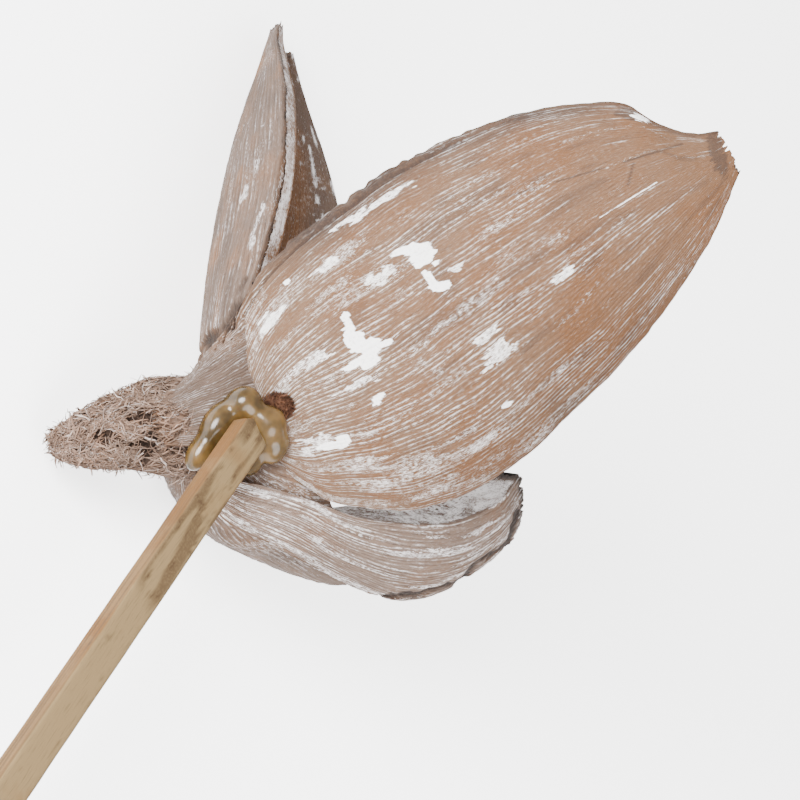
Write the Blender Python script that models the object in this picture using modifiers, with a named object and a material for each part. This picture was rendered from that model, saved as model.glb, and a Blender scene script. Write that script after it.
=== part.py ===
"""Dried sora pod: a whitewashed woody capsule, split into three boat-shaped valves, on a bamboo splint.

The pod is shaped with the outer face of its front valve towards +Z, +Y towards the tip of the left valve,
and its origin where the three valves meet. Everything is then laid down on its three low points.
Units are metres, and +Z is up once the pod is laid down.
"""

import math

import bmesh
import bpy
import numpy as np
from mathutils import Matrix, Vector

MM = 0.001

# Wall of the base cup in mm, and how thin any wall gets at its ends, as a share
CUP_WALL = 3.4
WALL_AT_ENDS = 0.3
# The section of a valve is an arc of this half-angle
ARC = math.radians(62)
# Coarse ribs along the valves: how many across, and their height
RIBS = 6
RIB_HEIGHT = 0.22 * MM
# Faces along and across each valve
ALONG = 26
ACROSS = 24

# Two of the valves: base point, heading and dip of the length, roll of the outer face about it (degrees),
# length, bow of the keel, how far the base is sunk, and the wall, in mm. At fractions of the length come the
# drop from keel to rim, and where the two rims lie from the centre line.
FRONT = {
    "base": (5.6, -0.9, 0.0), "heading": 29.9, "dip": -6.9, "roll": 90.0,
    "length": 97.8, "bow": 5.0, "sunk": (0.0, 0.0, -7.0), "wall": 3.6, "tip_wall": 0.0,
    "drop": [(0, 2), (0.05, 5), (0.12, 9.5), (0.25, 14.5), (0.45, 17), (0.65, 14.5), (0.82, 8), (0.92, 3),
             (1, 0.5)],
    "rim_a": [(0, 9), (0.045, 17), (0.12, 23.2), (0.226, 27), (0.32, 28.2), (0.45, 29.6), (0.57, 29.2),
              (0.67, 28), (0.757, 25.6), (0.825, 22.6), (0.88, 19), (0.91, 13.4), (0.95, 9), (1, 6.6)],
    "rim_b": [(0, -7), (0.045, -15.5), (0.1, -20), (0.168, -24.4), (0.229, -26.2), (0.3, -27.3), (0.41, -26.6),
              (0.53, -23.9), (0.66, -20.4), (0.8, -14.6), (0.89, -9.6), (0.945, -5.6), (1, -1.6)],
}
LEFT = {
    "base": (-8.1, -3.2, -24.0), "heading": 81.1, "dip": -33.7, "roll": -18.3,
    "length": 97.0, "bow": 2.1, "sunk": (0.0, 0.0, 0.0), "wall": 4.2, "tip_wall": 0.0,
    "drop": [(0, 7.3), (0.1, 11), (0.2, 14.6), (0.35, 18.2), (0.5, 18.1), (0.7, 13.7), (0.82, 9.4), (0.92, 5.3),
             (1, 3.2)],
    "rim_a": [(0, 8), (0.06, 15), (0.15, 21), (0.3, 25), (0.45, 25.5), (0.6, 23.5), (0.75, 20), (0.87, 16.5),
              (0.95, 12), (1, 6)],
    "rim_b": [(0, -6), (0.06, -11), (0.15, -16.5), (0.3, -22.6), (0.45, -24), (0.6, -21.8), (0.75, -16.6),
              (0.87, -10.4), (0.95, -6.6), (1, -4)],
}
# The lower valve is opened flat and curls away at its tip: where its two rims run, as (fraction, x, y, z) in mm,
# and how far its middle stands out from between them
LOWER = {
    "rim_a": [(0, -1.6, -8.5, -5), (0.12, 5.4, -10, -7), (0.25, 12.9, -12.3, -10),
              (0.4, 22.2, -15.7, -15), (0.55, 31.6, -17.1, -21), (0.7, 39.9, -17, -28),
              (0.85, 47.6, -13.7, -37), (1, 52.3, -8.6, -47)],
    "rim_b": [(0, -5.1, -12.1, -8.5), (0.12, -0.7, -16.7, -8.5), (0.25, 8.4, -21.3, -12),
              (0.4, 19.8, -28, -27), (0.55, 29, -31.9, -42), (0.7, 37.6, -30.7, -52),
              (0.85, 45.9, -25.9, -60), (1, 51.1, -21.7, -64)],
    "crown": [(0, 1), (0.15, 1.8), (0.4, 2.6), (0.7, 2.8), (1, 1.4)], "arc": 34.0, "wall": 5.8,
    "tip_wall": 0.6,
}

# The unsplit base: a round cup, opened away from the stalk, with one lobe that reaches further round
CUP_CENTRE = (6.1, -3.5, -27.5)
CUP_RADIUS = 19.6
CUP_POLE = (-0.709, 0.19, 0.678)
CUP_EDGE = 64.0
LOBE_TOWARDS = (0.49, -0.87, 0.0)
LOBE_EDGE = 60.0
LOBE_SWELL = 0.4

# The torn stalk: stations along it as (x, y, z, half height, half depth), from inside the cup to its torn end
STALK = [(-4, -1.5, -15, 12, 12), (-8.5, 0, -11, 9.6, 10.5), (-14, 0.2, -7.5, 8.1, 8.4), (-18, -0.4, -5, 6.9, 7),
         (-22, -0.9, -3, 6, 5.8), (-26, -1.4, -1.6, 4.7, 4.5), (-29, -2.2, -0.8, 3.1, 3), (-30.6, -2.2, -0.4, 1.6, 1.6)]
STRANDS = 12

# The bamboo splint: where it crosses the pod's skin, its heading, its sizes and its turn about its length
STICK_AT = (3.5, -0.4, -0.9)
STICK_TOWARDS = (-0.425, -0.652, 0.627)
STICK_LENGTH = 310.0
STICK_SUNK = 11.0
STICK_WIDTH = (6.7, 7.6)
STICK_THICK = (3.9, 4.2)
STICK_TURN = -35.0
HOLE_GAP = 0.5

# The bead of glue round the splint: half sizes along the splint, across its width and across its thickness
GLUE_HALF = (6.6, 8.4, 6.6)
GAP = 0.3

# The pod's two low points are worn flat by this much
WORN = 0.35
# Which way is down for the pod, roughly, before it is laid on its low points
DOWN = (-0.775, -0.173, -0.609)
DENSITY = {"pod": 480.0, "bamboo_stick": 680.0, "glue_bead": 950.0}


def clear_scene():
    for obj in list(bpy.data.objects):
        bpy.data.objects.remove(obj, do_unlink=True)


def collection(name, hidden=False):
    made = bpy.data.collections.new(name)
    bpy.context.scene.collection.children.link(made)
    made.hide_render = hidden
    return made


def material(name, colour, roughness):
    made = bpy.data.materials.new(name)
    made.use_nodes = True
    shader = made.node_tree.nodes["Principled BSDF"]
    shader.inputs["Base Color"].default_value = (*colour, 1.0)
    shader.inputs["Roughness"].default_value = roughness
    shader.inputs["Metallic"].default_value = 0.0
    return made


def unit(vector):
    vector = np.asarray(vector, float)
    return vector / np.linalg.norm(vector)


def smooth_through(stations, u):
    """A smooth curve through (position, value) stations, by cubic Hermite pieces with averaged slopes."""
    x = np.array([s[0] for s in stations], float)
    y = np.array([s[1] for s in stations], float)
    step = np.diff(y) / np.diff(x)
    slope = np.concatenate([step[:1], (step[:-1] + step[1:]) / 2, step[-1:]])
    i = np.clip(np.searchsorted(x, u, side="right") - 1, 0, len(x) - 2)
    h = x[i + 1] - x[i]
    s = (u - x[i]) / h
    return ((1 + 2 * s) * (1 - s) ** 2 * y[i] + s * (1 - s) ** 2 * h * slope[i]
            + s * s * (3 - 2 * s) * y[i + 1] + s * s * (s - 1) * h * slope[i + 1])


def valve_axes(valve):
    """Unit vectors along the valve, across it, and out of its outer face."""
    heading = math.radians(valve["heading"])
    dip = math.radians(valve["dip"])
    roll = math.radians(valve["roll"])
    along = np.array([math.cos(dip) * math.cos(heading), math.cos(dip) * math.sin(heading), math.sin(dip)])
    side = unit(np.cross([0.0, 0.0, 1.0], along))
    out = math.cos(roll) * side + math.sin(roll) * np.cross(along, side)
    return along, np.cross(out, along), out


def boat_surface(valve, u, v):
    """Points of a boat-shaped valve's outer face, in mm: u from base to tip, v from rim b (-1) to rim a (+1)."""
    along, across, out = valve_axes(valve)
    rim_a = smooth_through(valve["rim_a"], u)
    rim_b = smooth_through(valve["rim_b"], u)
    half = (rim_a - rim_b) / 2
    angle = v * ARC
    y = (rim_a + rim_b) / 2 + half * np.sin(angle) / math.sin(ARC)
    keel = valve["bow"] * 4 * u * (1 - u)
    z = keel - smooth_through(valve["drop"], u) * (1 - np.cos(angle)) / (1 - math.cos(ARC))
    sunk = (1 - u)[..., None] ** 6 * np.array(valve["sunk"])
    return (np.array(valve["base"]) + sunk + u[..., None] * valve["length"] * along
            + y[..., None] * across + (z + rib_height(u, v))[..., None] * out)


def flat_surface(valve, u, v):
    """The same for the valve that is given by where its two rims run."""
    arc = math.radians(valve["arc"])
    rims = [np.stack([smooth_through([(s[0], s[k]) for s in valve[rim]], u) for k in (1, 2, 3)], axis=-1)
            for rim in ("rim_a", "rim_b")]
    middle = (rims[0] + rims[1]) / 2
    across = (rims[0] - rims[1]) / 2
    along = np.gradient(middle, axis=0)
    out = np.cross(along, across)
    out /= np.linalg.norm(out, axis=-1, keepdims=True)
    rise = smooth_through(valve["crown"], u) * (np.cos(v * arc) - math.cos(arc)) / (1 - math.cos(arc))
    return (middle + across * (np.sin(v * arc) / math.sin(arc))[..., None]
            + (rise + rib_height(u, v))[..., None] * out)


def rib_height(u, v):
    """Low ribs that run the length of a valve and die away at its two ends."""
    return RIB_HEIGHT / MM * np.cos(v * RIBS * math.pi) * np.sin(math.pi * u)


def grid_object(name, points, home, around=False, wall=None, wall_share=None, inner_point=None):
    """A grid of points as one object: a loft that may close round on itself.

    With a wall share for each point it is a shell, whose wall comes from Solidify. Without, it gets end caps.
    """
    rows, cols = points.shape[:2]
    mesh = bpy.data.meshes.new(name)
    closed = wall_share is None
    faces = []
    for i in range(rows - 1):
        for j in range(cols if around else cols - 1):
            k = (j + 1) % cols
            faces.append((i * cols + j, i * cols + k, (i + 1) * cols + k, (i + 1) * cols + j))
    if closed:
        faces.append(tuple(reversed(range(cols))))
        faces.append(tuple((rows - 1) * cols + j for j in range(cols)))
    mesh.from_pydata((points.reshape(-1, 3) * MM).tolist(), [], faces)
    shape = bmesh.new()
    shape.from_mesh(mesh)
    bmesh.ops.triangulate(shape, faces=shape.faces[:])
    if closed:
        bmesh.ops.recalc_face_normals(shape, faces=shape.faces[:])
    shape.to_mesh(mesh)
    shape.free()
    obj = bpy.data.objects.new(name, mesh)
    home.objects.link(obj)
    if not closed:
        middle = Vector(inner_point) * MM
        if sum(f.normal.dot(f.center - middle) * f.area for f in mesh.polygons) < 0:
            mesh.flip_normals()
        group = obj.vertex_groups.new(name="wall")
        for index, share in enumerate(wall_share.reshape(-1)):
            group.add([index], float(share), "REPLACE")
        shell = obj.modifiers.new("wall", "SOLIDIFY")
        shell.thickness = wall * MM
        shell.offset = -1.0
        shell.vertex_group = "wall"
        shell.thickness_vertex_group = WALL_AT_ENDS
        shell.use_rim = True
    return obj


def make_valve(name, surface, valve, home):
    rows = 0.5 - 0.5 * np.cos(np.linspace(0.12, 0.88, ALONG + 1) * math.pi)
    rows = (rows - rows[0]) / (rows[-1] - rows[0])
    u, v = np.meshgrid(rows, np.linspace(-1, 1, ACROSS + 1), indexing="ij")
    points = surface(valve, u, v)
    share = np.clip(np.minimum(u / 0.16, (1 - u) / 0.3 + valve["tip_wall"]), 0, 1)
    rims_middle = (points[ALONG // 2, 0] + points[ALONG // 2, -1]) / 2
    inner_point = rims_middle - 4 * (points[ALONG // 2, ACROSS // 2] - rims_middle)
    return grid_object(name, points, home, wall=valve["wall"], wall_share=share, inner_point=inner_point)


def make_cup(home):
    """A round shell about the cup's pole, with its open edge further away where the lobe is."""
    pole = unit(CUP_POLE)
    lobe = np.array(LOBE_TOWARDS, float)
    side = unit(lobe - lobe.dot(pole) * pole)
    other = np.cross(pole, side)
    turn = np.linspace(0, 2 * math.pi, 25)[:-1]
    lobed = np.exp(-(np.minimum(turn, 2 * math.pi - turn) / 0.75) ** 2)
    edge = np.radians(CUP_EDGE + LOBE_EDGE * lobed)
    rows = np.linspace(0.06, 1, 11)[:, None]
    angle = rows * edge[None, :]
    past = np.clip((angle - math.radians(80)) / math.radians(40), 0, 1.1)
    radius = CUP_RADIUS * (1 + LOBE_SWELL * lobed[None, :] * past ** 2)
    ring = np.cos(turn)[None, :, None] * side + np.sin(turn)[None, :, None] * other
    spoke = np.cos(angle)[..., None] * pole + np.sin(angle)[..., None] * ring
    points = np.array(CUP_CENTRE) + radius[..., None] * spoke
    share = np.clip(2.2 * (1 - rows), 0, 1) * np.ones(len(turn))
    return grid_object("cup", points, home, around=True, wall=CUP_WALL, wall_share=share,
                       inner_point=CUP_CENTRE)


def make_stalk(home):
    stations = np.array(STALK, float)
    where = np.linspace(0, 1, len(stations))
    t = np.linspace(0, 1, 14)
    values = [smooth_through(list(zip(where, stations[:, k])), t) for k in range(5)]
    turn = np.linspace(0, 2 * math.pi, 17)[:-1]
    lumps = 1 + 0.10 * np.sin(5 * turn[None, :] + 3 * t[:, None]) + 0.07 * np.sin(3 * turn[None, :] - 9 * t[:, None])
    points = np.empty((len(t), len(turn), 3))
    points[..., 0] = values[0][:, None] + 0.8 * np.sin(4 * turn)[None, :] * t[:, None]
    points[..., 1] = values[1][:, None] + values[3][:, None] * lumps * np.cos(turn)[None, :]
    points[..., 2] = values[2][:, None] + values[4][:, None] * lumps * np.sin(turn)[None, :]
    return grid_object("stalk", points, home, around=True)


def make_strands(home):
    """Torn bundles of fibre round the stalk's end: thin tapered pegs, sunk into it."""
    rng = np.random.default_rng(4)
    made = []
    for k in range(STRANDS):
        turn = 2 * math.pi * (k + 0.5 * rng.random()) / STRANDS
        reach = rng.uniform(3.5, 7.5)
        start = rng.uniform(-25, -18)
        radius = 5.2 if start > -22 else 3.6
        foot = np.array([start, -1.6 + radius * math.cos(turn), -2.6 + radius * math.sin(turn)])
        towards = unit([-1.0, 0.25 * math.cos(turn), 0.3 * math.sin(turn)])
        width = rng.uniform(0.9, 1.5)
        bpy.ops.mesh.primitive_cone_add(vertices=5, radius1=width * MM, radius2=0.4 * MM, depth=(reach + 4) * MM)
        obj = bpy.context.object
        obj.name = f"strand_{k + 1}"
        obj.rotation_mode = "QUATERNION"
        obj.rotation_quaternion = Vector(towards).to_track_quat("Z", "Y")
        obj.location = Vector((foot + towards * (reach - 4) / 2) * MM)
        for other in list(obj.users_collection):
            other.objects.unlink(obj)
        home.objects.link(obj)
        made.append(obj)
    return made


def stick_frame():
    """Where the splint's own axes point: its length as Z, its width as X, its thickness as Y."""
    axis = Vector(STICK_TOWARDS).normalized()
    flat = Vector((0, 0, 1)) - axis * axis.z
    flat.normalize()
    flat = Matrix.Rotation(math.radians(STICK_TURN), 3, axis) @ flat
    wide = flat.cross(axis)
    frame = Matrix((wide, flat, axis)).transposed().to_4x4()
    frame.translation = Vector(STICK_AT) * MM
    return frame


def make_splint(name, home, grow=0.0, start=-STICK_SUNK, end=STICK_LENGTH, bevel=0.35):
    """A tapered box along the splint's axis, grown by a margin on every side."""
    shape = bmesh.new()
    bmesh.ops.create_cube(shape, size=1.0)
    for vert in shape.verts:
        far = vert.co.z > 0
        share = (end if far else start) / STICK_LENGTH
        width = STICK_WIDTH[0] + (STICK_WIDTH[1] - STICK_WIDTH[0]) * max(share, 0.0)
        thick = STICK_THICK[0] + (STICK_THICK[1] - STICK_THICK[0]) * max(share, 0.0)
        vert.co.x *= (width + 2 * grow) * MM
        vert.co.y *= (thick + 2 * grow) * MM
        vert.co.z = (end + grow if far else start - grow) * MM
    mesh = bpy.data.meshes.new(name)
    shape.to_mesh(mesh)
    shape.free()
    obj = bpy.data.objects.new(name, mesh)
    obj.matrix_world = stick_frame()
    home.objects.link(obj)
    if bevel:
        edge = obj.modifiers.new("edges", "BEVEL")
        edge.width = bevel * MM
        edge.segments = 1
    return obj


def make_bead(name, home, grow=0.0):
    """The bead of glue: a lumpy ball round the splint, a little longer along it."""
    shape = bmesh.new()
    bmesh.ops.create_uvsphere(shape, u_segments=20, v_segments=12, radius=1.0)
    for vert in shape.verts:
        turn = math.atan2(vert.co.y, vert.co.x)
        lump = 1 + 0.07 * math.sin(3 * turn + 1.2) + 0.05 * math.sin(5 * turn) * (1 - vert.co.z ** 2)
        vert.co.x *= (GLUE_HALF[1] * lump + grow) * MM
        vert.co.y *= (GLUE_HALF[2] * lump + grow) * MM
        vert.co.z *= (GLUE_HALF[0] + grow) * MM
    mesh = bpy.data.meshes.new(name)
    shape.to_mesh(mesh)
    shape.free()
    obj = bpy.data.objects.new(name, mesh)
    obj.matrix_world = stick_frame()
    home.objects.link(obj)
    return obj


def boolean(obj, operation, other=None, group=None, with_self=False):
    cut = obj.modifiers.new(operation.lower(), "BOOLEAN")
    cut.operation = operation
    cut.solver = "EXACT"
    cut.use_self = with_self
    if group is not None:
        cut.operand_type = "COLLECTION"
        cut.collection = group
    else:
        cut.object = other


def applied(obj):
    """The object with its modifiers and its placement made part of its mesh."""
    bpy.context.view_layer.update()
    graph = bpy.context.evaluated_depsgraph_get()
    mesh = bpy.data.meshes.new_from_object(obj.evaluated_get(graph), depsgraph=graph)
    mesh.transform(obj.matrix_world)
    obj.modifiers.clear()
    obj.data = mesh
    obj.matrix_world = Matrix.Identity(4)
    return obj


def largest_body(obj):
    """Keeps the largest run of faces joined at their edges, and shades it smooth but for its sharp edges."""
    shape = bmesh.new()
    shape.from_mesh(obj.data)
    bmesh.ops.remove_doubles(shape, verts=shape.verts[:], dist=0.000002)
    seen = set()
    bodies = []
    for face in shape.faces:
        if face in seen:
            continue
        body = {face}
        queue = [face]
        while queue:
            for edge in queue.pop().edges:
                for near in edge.link_faces:
                    if near not in body:
                        body.add(near)
                        queue.append(near)
        seen |= body
        bodies.append(body)
    bodies.sort(key=len)
    for body in bodies[:-1]:
        bmesh.ops.delete(shape, geom=list(body), context="FACES")
    bmesh.ops.triangulate(shape, faces=shape.faces[:])
    shape.to_mesh(obj.data)
    shape.free()
    obj.data.shade_smooth()
    obj.data.set_sharp_from_angle(angle=math.radians(40))


def corners(obj):
    count = len(obj.data.vertices)
    points = np.empty(count * 3, np.float32)
    obj.data.vertices.foreach_get("co", points)
    return points.reshape(-1, 3).astype(float)


def weight_and_centre(obj, density):
    """Mass and centre of mass of a closed body, by summing the tetrahedra from the origin to each triangle."""
    obj.data.calc_loop_triangles()
    points = corners(obj)
    index = np.empty(len(obj.data.loop_triangles) * 3, np.int32)
    obj.data.loop_triangles.foreach_get("vertices", index)
    tri = points[index.reshape(-1, 3)]
    volume = np.einsum("ij,ij->i", tri[:, 0], np.cross(tri[:, 1], tri[:, 2])) / 6
    return volume.sum() * density, (tri.sum(axis=1) / 4 * volume[:, None]).sum(axis=0) * density


def resting_plane(points, centre):
    """The face of the convex hull that lies under the centre of mass and looks most nearly down."""
    shape = bmesh.new()
    for point in points:
        shape.verts.new(point)
    bmesh.ops.convex_hull(shape, input=shape.verts[:])
    bmesh.ops.triangulate(shape, faces=shape.faces[:])
    best = None
    for face in shape.faces:
        a, b, c = [np.array(vert.co) for vert in face.verts]
        normal = np.cross(b - a, c - a)
        if np.linalg.norm(normal) < 1e-9:
            continue
        normal = unit(normal)
        if normal.dot(a - centre) < 0:
            normal = -normal
        foot = centre + normal * normal.dot(a - centre)
        sides = [np.cross(q - p, foot - p).dot(normal) for p, q in ((a, b), (b, c), (c, a))]
        under = min(sides) > 0 or max(sides) < 0
        score = normal.dot(unit(DOWN))
        if under and (best is None or score > best[0]):
            best = (score, normal, a, (a, b, c))
    shape.free()
    return best


def lay_down(objects):
    """Turns and moves the finished pieces so that they rest on z = 0, the pod's head towards +X."""
    masses = [weight_and_centre(obj, DENSITY[obj.name]) for obj in objects]
    centre = sum(m[1] for m in masses) / sum(m[0] for m in masses)
    points = np.concatenate([corners(obj) for obj in objects])
    _, down, _, lows = resting_plane(points, centre)
    pod_points = corners(objects[0])
    worn = [low - down * WORN * MM * (np.abs(pod_points - low).max(axis=1).min() < 1e-6) for low in lows]
    plane = unit(np.cross(worn[1] - worn[0], worn[2] - worn[0]))
    up = plane if plane.dot(down) < 0 else -plane
    head = -unit(STICK_TOWARDS)
    x_axis = unit(head - up * head.dot(up))
    turn = np.array([x_axis, np.cross(up, x_axis), up])
    turned = points @ turn.T
    middle = (turned[:, :2].min(axis=0) + turned[:, :2].max(axis=0)) / 2
    placing = Matrix(turn.tolist()).to_4x4()
    placing.translation = (-middle[0], -middle[1], -float(turn[2].dot(worn[0])))
    for obj in objects:
        obj.data.transform(placing)


clear_scene()
parts = collection("Dried sora pod")
pieces = collection("Pod pieces")
cutters = collection("Cutters", hidden=True)

dried = material("Dried pod", (0.56, 0.42, 0.32), 0.85)
bamboo = material("Bamboo", (0.55, 0.44, 0.27), 0.6)
glue = material("Hot glue", (0.42, 0.32, 0.14), 0.25)

# The pod: its valves, cup, stalk and strands are joined into one body
pod = make_valve("pod", boat_surface, FRONT, parts)
make_valve("left_valve", boat_surface, LEFT, pieces)
make_valve("lower_valve", flat_surface, LOWER, pieces)
make_cup(pieces)
make_stalk(pieces)
make_strands(pieces)
boolean(pod, "UNION", group=pieces, with_self=True)
applied(pod)
for piece in list(pieces.objects):
    bpy.data.objects.remove(piece, do_unlink=True)
bpy.data.collections.remove(pieces)

# The drilled hole, and the pocket that the glue filled
hole = make_splint("hole", cutters, grow=HOLE_GAP, start=-STICK_SUNK - 1.5, end=7.0, bevel=0)
pocket = make_bead("pocket", cutters, grow=GAP)
clearance = make_splint("clearance", cutters, grow=GAP, start=-30.0, end=30.0, bevel=0)
boolean(pod, "DIFFERENCE", hole)
boolean(pod, "DIFFERENCE", pocket)
applied(pod)
largest_body(pod)

stick = applied(make_splint("bamboo_stick", parts))
bead = make_bead("glue_bead", parts)
boolean(bead, "DIFFERENCE", clearance)
applied(bead)
largest_body(bead)

lay_down([pod, stick, bead])
bpy.ops.mesh.primitive_cube_add(size=1.0, location=(0.0, 0.0, -0.05))
ground = bpy.context.object
ground.name = "ground"
ground.scale = (1.0, 1.0, 0.1)
for home in list(ground.users_collection):
    home.objects.unlink(ground)
cutters.objects.link(ground)
boolean(pod, "DIFFERENCE", ground)
applied(pod)
largest_body(pod)

for piece, finish in ((pod, dried), (stick, bamboo), (bead, glue)):
    piece.data.materials.clear()
    piece.data.materials.append(finish)
for cutter in cutters.objects:
    cutter.hide_render = True
    cutter.display_type = "WIRE"
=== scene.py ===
import math

import bpy
import numpy as np
from mathutils import Euler, Matrix


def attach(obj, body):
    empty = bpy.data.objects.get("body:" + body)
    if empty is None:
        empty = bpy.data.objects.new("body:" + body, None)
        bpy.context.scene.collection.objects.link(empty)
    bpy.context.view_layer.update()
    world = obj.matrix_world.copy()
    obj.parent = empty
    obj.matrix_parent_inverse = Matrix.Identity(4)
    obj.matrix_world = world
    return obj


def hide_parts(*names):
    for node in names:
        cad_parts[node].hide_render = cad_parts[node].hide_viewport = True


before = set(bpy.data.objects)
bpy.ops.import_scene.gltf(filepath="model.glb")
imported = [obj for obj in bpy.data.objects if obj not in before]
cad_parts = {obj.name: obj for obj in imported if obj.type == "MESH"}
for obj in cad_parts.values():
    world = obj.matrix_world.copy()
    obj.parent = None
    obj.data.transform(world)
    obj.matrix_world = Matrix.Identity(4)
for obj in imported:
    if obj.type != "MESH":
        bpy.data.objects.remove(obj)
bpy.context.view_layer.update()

# The view. The photograph shows the pod aslant before a white ground. It is taken here as seen from in
# front, through a long lens 0.7 m off, and the same lens looks at it from the same side, though it now
# lies on its low points. LYING turns and moves the upright pod, whose x runs right, y up and z towards
# the lens from where the splint goes in.
LIE_TURN = Euler([math.radians(degrees) for degrees in (16.5582, -53.6373, -53.8865)], "XYZ")
LIE_AT = Matrix.Translation((0.1006451, 0.0229308, 0.0296678))
LYING = LIE_AT @ LIE_TURN.to_matrix().to_4x4()
LENS_AT = (0.02975, 0.00525, 0.7)
lens = bpy.data.cameras.new("long_lens")
lens.lens = 180.0
lens.sensor_width = 36.0
lens.clip_start = 0.02
camera = bpy.data.objects.new("camera", lens)
camera.matrix_world = LYING @ Matrix.Translation(LENS_AT)
bpy.context.scene.collection.objects.link(camera)
bpy.context.scene.camera = camera

# The table and the studio light. A smooth white table that glows a little, a wide soft light over the
# lens and a weaker one from the other side, under a pale sky.
TABLE_REACH = 4.0
TABLE_LEVEL = -0.0003
corners = [(x * TABLE_REACH, y * TABLE_REACH, TABLE_LEVEL) for x, y in ((-1, -1), (1, -1), (1, 1), (-1, 1))]
table = bpy.data.meshes.new("table")
table.from_pydata(corners, [], [(0, 1, 2, 3)])
table_top = bpy.data.objects.new("table_top", table)
bpy.context.scene.collection.objects.link(table_top)
table_paint = bpy.data.materials.new("table_paint")
table_paint.use_nodes = True
coating = table_paint.node_tree.nodes["Principled BSDF"]
coating.inputs["Base Color"].default_value = (0.93, 0.93, 0.93, 1)
coating.inputs["Roughness"].default_value = 0.9
coating.inputs["Emission Color"].default_value = (1, 1, 1, 1)
coating.inputs["Emission Strength"].default_value = 2.2
table.materials.append(table_paint)


def soft_light(name, place, aim, size, power):
    """A round panel light, turned to shine at the aim; place and aim are in the upright pod's mm."""
    panel = bpy.data.lights.new(name, "AREA")
    panel.shape = "DISK"
    panel.size = size
    panel.energy = power
    hung = bpy.data.objects.new(name, panel)
    start = LYING @ Matrix.Translation([c / 1000 for c in place])
    end = LYING @ Matrix.Translation([c / 1000 for c in aim])
    turn = (end.translation - start.translation).to_track_quat("-Z", "Y").to_matrix().to_4x4()
    hung.matrix_world = Matrix.Translation(start.translation) @ turn
    bpy.context.scene.collection.objects.link(hung)


soft_light("key_light", (-100, 320, 700), (30, 0, 0), 0.45, 27.0)
soft_light("fill_light", (320, -380, 560), (30, 0, 0), 0.6, 10.0)
sky = bpy.data.worlds.new("pale_sky")
sky.use_nodes = True
sky.node_tree.nodes["Background"].inputs["Color"].default_value = (1, 1, 1, 1)
sky.node_tree.nodes["Background"].inputs["Strength"].default_value = 1.25
bpy.context.scene.world = sky


# The front valve. A thin boat of dried woody husk, split off along both edges and painted thinly with
# whitewash that was wiped away again, so that it stays on the ribs and in a few thick patches. It grows
# out of the pod's base and covers most of the front.
FRONT = {
    "base": (5.6, -0.9, 0.0), "heading": 29.9, "dip": -6.9, "roll": 90.0,
    "length": 97.8, "bow": 5.0, "sunk": (0.0, 0.0, -7.0), "wall": 3.6, "tip_wall": 0.0,
    "drop": [(0, 2), (0.05, 5), (0.12, 9.5), (0.25, 14.5), (0.45, 17), (0.65, 14.5), (0.82, 8), (0.92, 3),
             (1, 0.5)],
    "rim_a": [(0, 9), (0.045, 17), (0.12, 23.2), (0.226, 27), (0.32, 28.2), (0.45, 29.6), (0.57, 29.2),
              (0.67, 28), (0.757, 25.6), (0.825, 22.6), (0.88, 19), (0.91, 13.4), (0.95, 9), (1, 6.6)],
    "rim_b": [(0, -7), (0.045, -15.5), (0.1, -20), (0.168, -24.4), (0.229, -26.2), (0.3, -27.3),
              (0.41, -26.6), (0.53, -23.9), (0.66, -20.4), (0.8, -14.6), (0.89, -9.6), (0.945, -5.6),
              (1, -1.6)],
}
BOAT_ARC = math.radians(62)


def smooth_through(stations, u):
    """A smooth curve through (position, value) stations, by cubic Hermite pieces with averaged slopes."""
    x = np.array([s[0] for s in stations], float)
    y = np.array([s[1] for s in stations], float)
    step = np.diff(y) / np.diff(x)
    slope = np.concatenate([step[:1], (step[:-1] + step[1:]) / 2, step[-1:]])
    i = np.clip(np.searchsorted(x, u, side="right") - 1, 0, len(x) - 2)
    h = x[i + 1] - x[i]
    s = (u - x[i]) / h
    return ((1 + 2 * s) * (1 - s) ** 2 * y[i] + s * (1 - s) ** 2 * h * slope[i]
            + s * s * (3 - 2 * s) * y[i + 1] + s * s * (s - 1) * h * slope[i + 1])


def ease(low, high, x):
    """0 below low, 1 above high, and an s-curve between them."""
    t = np.clip((x - low) / (high - low), 0, 1)
    return t * t * (3 - 2 * t)


def cloud(seed, x, y, cells=64):
    """Soft noise from -1 to 1: random numbers on whole-number places, with s-curves between them.

    It repeats every 64 in x, and every cells in y.
    """
    grid = np.random.default_rng(seed).uniform(-1, 1, (64, cells))
    i, j = np.floor(x), np.floor(y)
    s, t = x - i, y - j
    s, t = s * s * (3 - 2 * s), t * t * (3 - 2 * t)
    i, j = i.astype(int) % 64, j.astype(int) % cells
    k, m = (i + 1) % 64, (j + 1) % cells
    return (grid[i, j] * (1 - s) + grid[k, j] * s) * (1 - t) + (grid[i, m] * (1 - s) + grid[k, m] * s) * t


def boat_face(valve, u, v):
    """Outer face of a boat-shaped valve, in mm: u runs from base to tip, v from rim b (-1) to rim a (+1).

    Across, it is an arc between the two rims; along, a bowed keel that drops towards the rims.
    """
    heading, dip, roll = (math.radians(valve[key]) for key in ("heading", "dip", "roll"))
    along = np.array([math.cos(dip) * math.cos(heading), math.cos(dip) * math.sin(heading), math.sin(dip)])
    side = np.cross([0.0, 0.0, 1.0], along)
    side /= np.linalg.norm(side)
    out = math.cos(roll) * side + math.sin(roll) * np.cross(along, side)
    across = np.cross(out, along)
    rim_a = smooth_through(valve["rim_a"], u)
    rim_b = smooth_through(valve["rim_b"], u)
    angle = v * BOAT_ARC
    y = (rim_a + rim_b) / 2 + (rim_a - rim_b) / 2 * np.sin(angle) / math.sin(BOAT_ARC)
    drop = smooth_through(valve["drop"], u) * (1 - np.cos(angle)) / (1 - math.cos(BOAT_ARC))
    z = valve["bow"] * 4 * u * (1 - u) - drop
    sunk = (1 - u)[..., None] ** 6 * np.array(valve["sunk"])
    return (np.array(valve["base"]) + sunk + u[..., None] * valve["length"] * along
            + y[..., None] * across + z[..., None] * out)


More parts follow.
